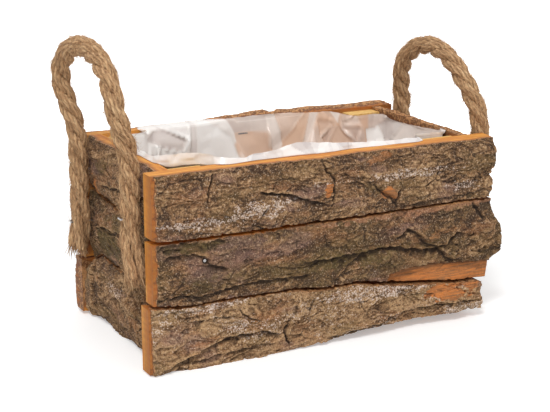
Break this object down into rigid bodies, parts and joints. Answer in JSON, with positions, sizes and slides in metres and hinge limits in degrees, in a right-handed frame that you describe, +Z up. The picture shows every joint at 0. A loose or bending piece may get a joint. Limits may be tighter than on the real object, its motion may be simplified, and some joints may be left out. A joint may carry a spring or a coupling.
{
  "type": "bark slab planter basket",
  "caption": "Rectangular planter basket of bark-on log slabs with rope handles that flex and a film liner.",
  "frame": {"origin": "on the floor, under the middle of the whole outline", "axes": "+X along the basket's length, +Z up, front facing -Y"},
  "size_m": [0.3382, 0.1756, 0.2449],
  "materials": {
    "bark_slab": "rough natural bark outside, sawn wood inside",
    "sawn_lath": "raw sawn",
    "plywood": "raw sanded",
    "film": "milky crinkled film",
    "jute_rope": "hairy three-strand jute",
    "steel": "bright wire"
  },
  "bodies": {
    "basket": {"front_slab_bottom": "bark_slab", "front_slab_middle": "bark_slab", "front_slab_top": "bark_slab", "back_slab_bottom": "bark_slab", "back_slab_middle": "bark_slab", "back_slab_top": "bark_slab", "left_end_slab_bottom": "bark_slab", "left_end_slab_middle": "bark_slab", "left_end_slab_top": "bark_slab", "right_end_slab_bottom": "bark_slab", "right_end_slab_middle": "bark_slab", "right_end_slab_top": "bark_slab", "front_left_post": "sawn_lath", "front_right_post": "sawn_lath", "back_left_post": "sawn_lath", "back_right_post": "sawn_lath", "base_panel": "plywood", "liner": "film", "front_bottom_nail_left": "steel", "front_bottom_nail_right": "steel", "front_middle_nail_left": "steel", "front_middle_nail_right": "steel", "front_top_nail_left": "steel", "front_top_nail_right": "steel", "back_bottom_nail_left": "steel", "back_bottom_nail_right": "steel", "back_middle_nail_left": "steel", "back_middle_nail_right": "steel", "back_top_nail_left": "steel", "back_top_nail_right": "steel", "left_bottom_nail_front": "steel", "left_bottom_nail_back": "steel", "left_middle_nail_front": "steel", "left_middle_nail_back": "steel", "left_top_nail_front": "steel", "left_top_nail_back": "steel", "right_bottom_nail_front": "steel", "right_bottom_nail_back": "steel", "right_middle_nail_front": "steel", "right_middle_nail_back": "steel", "right_top_nail_front": "steel", "right_top_nail_back": "steel", "base_nail_front_left": "steel", "base_nail_front_right": "steel", "base_nail_back_left": "steel", "base_nail_back_right": "steel", "liner_staple_front": "steel", "liner_staple_back": "steel", "liner_staple_left": "steel", "liner_staple_right": "steel", "left_handle_tail_front": "jute_rope", "left_handle_tail_back": "jute_rope", "right_handle_tail_front": "jute_rope", "right_handle_tail_back": "jute_rope", "left_handle_staple_front": "steel", "left_handle_staple_back": "steel", "right_handle_staple_front": "steel", "right_handle_staple_back": "steel"},
    "left_handle": {"left_handle_loop": "jute_rope"},
    "right_handle": {"right_handle_loop": "jute_rope"}
  },
  "joints": [
    {"name": "left_handle_flex", "type": "hinge", "parent": "basket", "child": "left_handle", "pos_m": [-0.1494, 0, 0.155], "axis": [0, -1, 0], "range_deg": [-40, 50], "stiffness_Nm_per_rad": 0.5},
    {"name": "right_handle_flex", "type": "hinge", "parent": "basket", "child": "right_handle", "pos_m": [0.1602, 0, 0.155], "axis": [0, 1, 0], "range_deg": [-40, 50], "stiffness_Nm_per_rad": 0.5}
  ]
}
